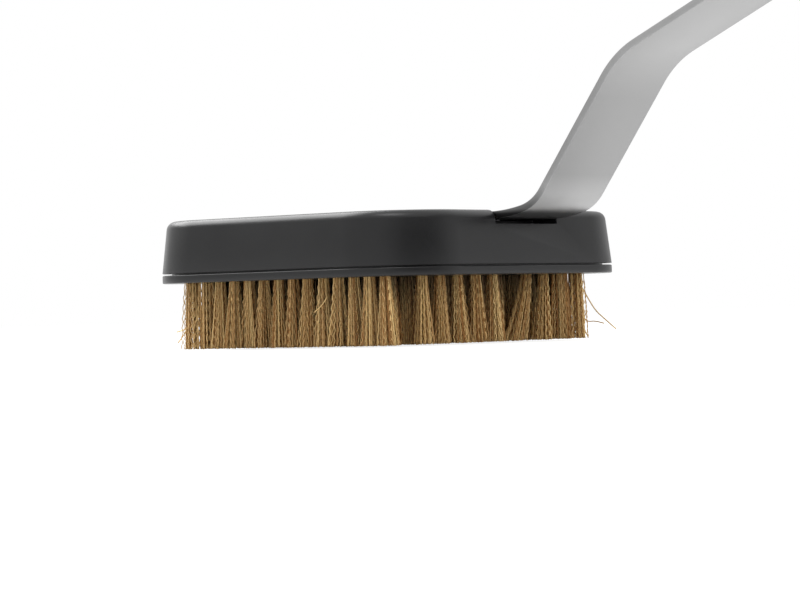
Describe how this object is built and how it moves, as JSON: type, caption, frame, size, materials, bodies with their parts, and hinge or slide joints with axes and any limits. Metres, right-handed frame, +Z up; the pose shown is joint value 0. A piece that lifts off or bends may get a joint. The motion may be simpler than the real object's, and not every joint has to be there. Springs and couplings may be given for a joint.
{
  "type": "grill brush",
  "caption": "Grill brush with a rounded black head, brass wire bristles under it and a bent flat stainless steel handle strip with a black grip.",
  "frame": {"origin": "under the middle of the whole brush, on the plane of the bristle tips", "axes": "+X from the head towards the end of the grip, +Y across the head to its left as seen along +X, +Z up from the bristle tips through the head"},
  "size_m": [0.3814, 0.118, 0.1842],
  "materials": {
    "black_plastic": "moulded black plastic with a soft sheen",
    "brass_wire": "crimped brass wire, bright",
    "satin_stainless": "satin stainless steel sheet",
    "screw_steel": "plain turned steel"
  },
  "bodies": {
    "root": {"housing": "black_plastic", "bristle_plate": "black_plastic", "bristle_row_01": "brass_wire", "bristle_row_02": "brass_wire", "bristle_row_03": "brass_wire", "bristle_row_04": "brass_wire", "bristle_row_05": "brass_wire", "bristle_row_06": "brass_wire", "bristle_row_07": "brass_wire", "bristle_row_08": "brass_wire", "bristle_row_09": "brass_wire", "bristle_row_10": "brass_wire", "bristle_row_11": "brass_wire", "bristle_row_12": "brass_wire", "bristle_row_13": "brass_wire", "bristle_row_14": "brass_wire", "handle_strip": "satin_stainless", "clamp_plate": "screw_steel", "handle_screw_1": "screw_steel", "handle_screw_2": "screw_steel", "plate_screw_1": "screw_steel", "plate_screw_2": "screw_steel", "plate_screw_3": "screw_steel", "plate_screw_4": "screw_steel", "grip_upper": "black_plastic", "grip_lower": "black_plastic", "grip_rivet_1": "satin_stainless", "grip_rivet_2": "satin_stainless", "grip_rivet_3": "satin_stainless"}
  },
  "joints": []
}
